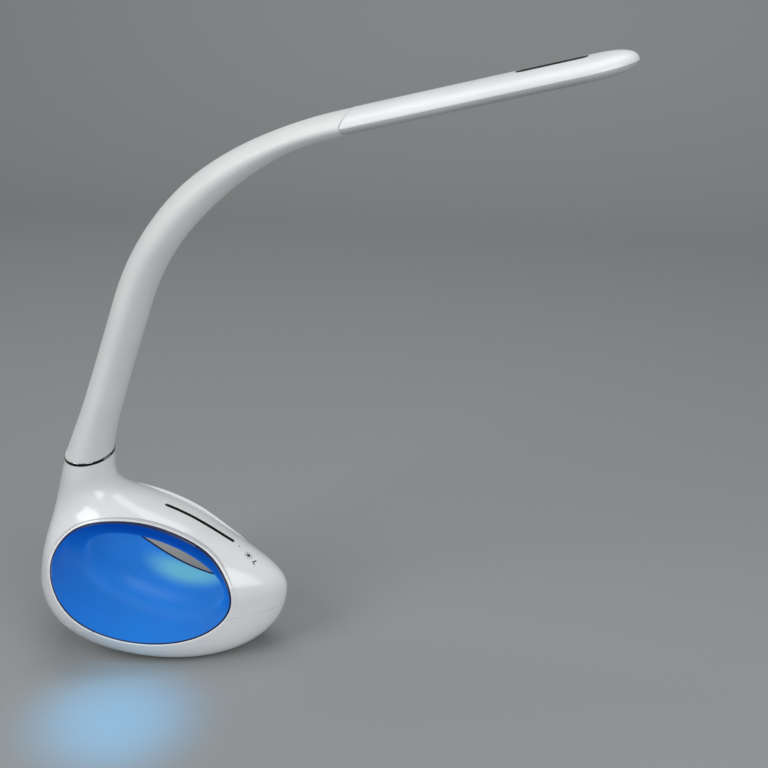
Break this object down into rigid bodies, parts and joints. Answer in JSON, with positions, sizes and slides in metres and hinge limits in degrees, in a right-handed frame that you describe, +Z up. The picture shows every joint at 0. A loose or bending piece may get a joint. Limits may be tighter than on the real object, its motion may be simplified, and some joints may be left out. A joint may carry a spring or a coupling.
{
  "type": "desk lamp",
  "caption": "Desk lamp with a flexible flat arm, a slim LED head and a hollow egg-shaped base with a glowing tunnel and a touch dimmer.",
  "frame": {"origin": "on the desk under the hollow base, in the lamp's middle plane, 34 mm ahead of the neck", "axes": "+X from the neck to the nose of the base and out to the head, +Y through the tunnel of the base, +Z up"},
  "size_m": [0.3967, 0.1264, 0.4251],
  "materials": {
    "white_gloss": "gloss",
    "white_satin": "satin",
    "glow_blue": "lit from behind, gloss",
    "soft_white": "satin silicone",
    "chrome": "polished",
    "steel": "plain",
    "diffuser": "frosted",
    "black": "gloss",
    "board_green": "solder mask",
    "led_body": "plain",
    "lead_black": "plain",
    "foot_rubber": "plain"
  },
  "bodies": {
    "base": {"arm_socket": "steel", "ballast_plate": "steel", "ballast_screws": "steel", "base_lead": "lead_black", "base_lower_shell": "white_gloss", "base_upper_shell": "white_gloss", "board_components": "black", "board_screws": "steel", "glow_led_strip": "board_green", "glow_leds": "led_body", "glow_tunnel": "glow_blue", "main_board": "board_green", "neck_ring": "chrome", "power_jack": "black", "rubber_feet": "foot_rubber", "shell_screws": "steel", "socket_nut": "steel", "touch_board": "board_green", "touch_screws": "steel", "touch_strip": "black", "arm_sleeve_1": "soft_white", "gooseneck_core_1": "steel", "lamp_lead_1": "lead_black"},
    "link_1": {"arm_sleeve_2": "soft_white", "gooseneck_core_2": "steel", "lamp_lead_2": "lead_black"},
    "link_2": {"arm_sleeve_3": "soft_white", "gooseneck_core_3": "steel", "lamp_lead_3": "lead_black"},
    "link_3": {"arm_sleeve_4": "soft_white", "gooseneck_core_4": "steel", "lamp_lead_4": "lead_black"},
    "link_4": {"arm_sleeve_5": "soft_white", "gooseneck_core_5": "steel", "lamp_lead_5": "lead_black"},
    "link_5": {"arm_sleeve_6": "soft_white", "gooseneck_core_6": "steel", "lamp_lead_6": "lead_black"},
    "head": {"head_top_cover": "white_satin", "head_tray": "white_satin", "head_diffuser": "diffuser", "head_led_board": "board_green", "head_leds": "led_body", "head_reflector": "white_satin", "head_sensor_strip": "black", "core_clamp": "steel", "head_screws": "steel", "arm_sleeve_7": "soft_white", "gooseneck_core_7": "steel", "lamp_lead_7": "lead_black"}
  },
  "joints": [
    {"name": "arm_bend_1", "type": "hinge", "parent": "base", "child": "link_1", "pos_m": [-0.02248, 0, 0.17449], "axis": [0, 1, 0], "range_deg": [-15, 15]},
    {"name": "arm_bend_2", "type": "hinge", "parent": "link_1", "child": "link_2", "pos_m": [-0.00609, 0, 0.22003], "axis": [-0.9409, 0, 0.3387], "range_deg": [-15, 15]},
    {"name": "arm_bend_3", "type": "hinge", "parent": "link_2", "child": "link_3", "pos_m": [0.01058, 0, 0.26546], "axis": [0, 1, 0], "range_deg": [-15, 15]},
    {"name": "arm_bend_4", "type": "hinge", "parent": "link_3", "child": "link_4", "pos_m": [0.03528, 0, 0.30692], "axis": [0, 1, 0], "range_deg": [-15, 15]},
    {"name": "arm_bend_5", "type": "hinge", "parent": "link_4", "child": "link_5", "pos_m": [0.07003, 0, 0.34042], "axis": [-0.6005, 0, 0.7996], "range_deg": [-15, 15]},
    {"name": "arm_bend_6", "type": "hinge", "parent": "link_5", "child": "head", "pos_m": [0.1117, 0, 0.36483], "axis": [0, 1, 0], "range_deg": [-15, 15]}
  ]
}
